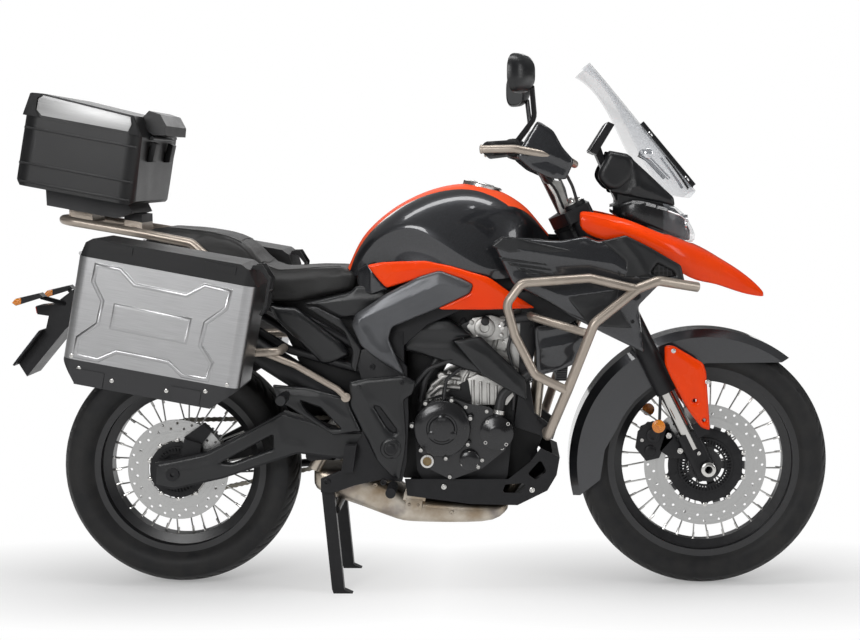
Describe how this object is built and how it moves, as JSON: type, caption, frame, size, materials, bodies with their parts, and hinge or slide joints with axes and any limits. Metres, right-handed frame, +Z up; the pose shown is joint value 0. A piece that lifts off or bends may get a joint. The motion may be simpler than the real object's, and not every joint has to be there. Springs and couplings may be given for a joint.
{
  "type": "adventure motorcycle",
  "caption": "Adventure motorcycle with hard side cases and a top case, upright on its centre stand; wire wheels, steering, stands and case lids move.",
  "frame": {"origin": "on the ground, under the middle of the overall box", "axes": "+X forward along the machine, +Y to the rider's left, +Z up"},
  "size_m": [2.137, 0.8762, 1.3774],
  "materials": {
    "tyre": "black rubber",
    "wheel_black": "satin black",
    "steel": "brushed",
    "frame_black": "satin black",
    "engine_black": "matte black casting",
    "alloy": "cast",
    "exhaust_steel": "heat stained",
    "black_plastic": "grained",
    "dark_gloss": "metallic grey black",
    "orange": "glossy orange",
    "clear": "clear",
    "seat_vinyl": "grained vinyl",
    "champagne": "satin bronze",
    "chrome": "polished",
    "case_black": "grained",
    "case_alloy": "brushed aluminium panel"
  },
  "bodies": {
    "frame": {"swingarm": "frame_black", "main_frame": "frame_black", "subframe": "frame_black", "engine_block": "engine_black", "engine_covers": "engine_black", "cylinder": "alloy", "skid_plate": "black_plastic", "exhaust": "exhaust_steel", "radiator": "engine_black", "tank": "dark_gloss", "side_bands": "orange", "side_covers": "dark_gloss", "fairing": "dark_gloss", "beak": "orange", "headlight": "black_plastic", "headlight_lens": "clear", "windscreen": "clear", "display": "black_plastic", "seat": "seat_vinyl", "rear_rack": "champagne", "side_cases": "case_alloy", "top_case": "case_black", "crash_bars": "champagne", "footpegs": "alloy", "chain": "steel", "tail_unit": "black_plastic", "rear_caliper": "alloy", "seat_panels": "dark_gloss", "rear_shock": "steel", "foot_hangers": "frame_black"},
    "steering": {"fork": "frame_black", "fork_tubes": "chrome", "fork_feet": "frame_black", "handlebar": "frame_black", "hand_guards": "champagne", "mirrors": "black_plastic", "front_fender": "dark_gloss", "fork_panels": "orange", "front_caliper": "engine_black"},
    "front_wheel": {"front_tyre": "tyre", "front_wire_wheel": "wheel_black", "front_disc": "steel"},
    "rear_wheel": {"rear_tyre": "tyre", "rear_wire_wheel": "wheel_black", "rear_disc": "steel", "rear_sprocket": "steel"},
    "centre_stand": {"centre_stand": "frame_black"},
    "side_stand": {"side_stand": "frame_black"},
    "right_lid": {"right_lid": "case_black"},
    "left_lid": {"left_lid": "case_black"},
    "top_lid": {"top_lid": "case_black"}
  },
  "joints": [
    {"name": "steering_turn", "type": "hinge", "parent": "frame", "child": "steering", "pos_m": [0.42924, 0, 0.84376], "axis": [-0.4462, 0, 0.8949], "range_deg": [-32, 32]},
    {"name": "front_wheel_spin", "type": "hinge", "parent": "steering", "child": "front_wheel", "pos_m": [0.7435, 0, 0.33], "axis": [0, 1, 0], "continuous": true},
    {"name": "rear_wheel_spin", "type": "hinge", "parent": "frame", "child": "rear_wheel", "pos_m": [-0.6415, 0, 0.3165], "axis": [0, 1, 0], "continuous": true},
    {"name": "centre_stand_fold", "type": "hinge", "parent": "frame", "child": "centre_stand", "pos_m": [-0.2435, 0, 0.29], "axis": [0, 1, 0], "range_deg": [0, 80]},
    {"name": "side_stand_fold", "type": "hinge", "parent": "frame", "child": "side_stand", "pos_m": [-0.1415, 0.175, 0.3], "axis": [0, -0.9511, -0.309], "range_deg": [0, 98]},
    {"name": "right_lid_open", "type": "hinge", "parent": "frame", "child": "right_lid", "pos_m": [-0.80164, -0.333, 0.90107], "axis": [0, -1, 0], "range_deg": [0, 85]},
    {"name": "left_lid_open", "type": "hinge", "parent": "frame", "child": "left_lid", "pos_m": [-0.80164, 0.333, 0.90107], "axis": [0, -1, 0], "range_deg": [0, 85]},
    {"name": "top_lid_open", "type": "hinge", "parent": "frame", "child": "top_lid", "pos_m": [-0.68275, 0, 1.1805], "axis": [0, 1, 0], "range_deg": [0, 80]}
  ]
}
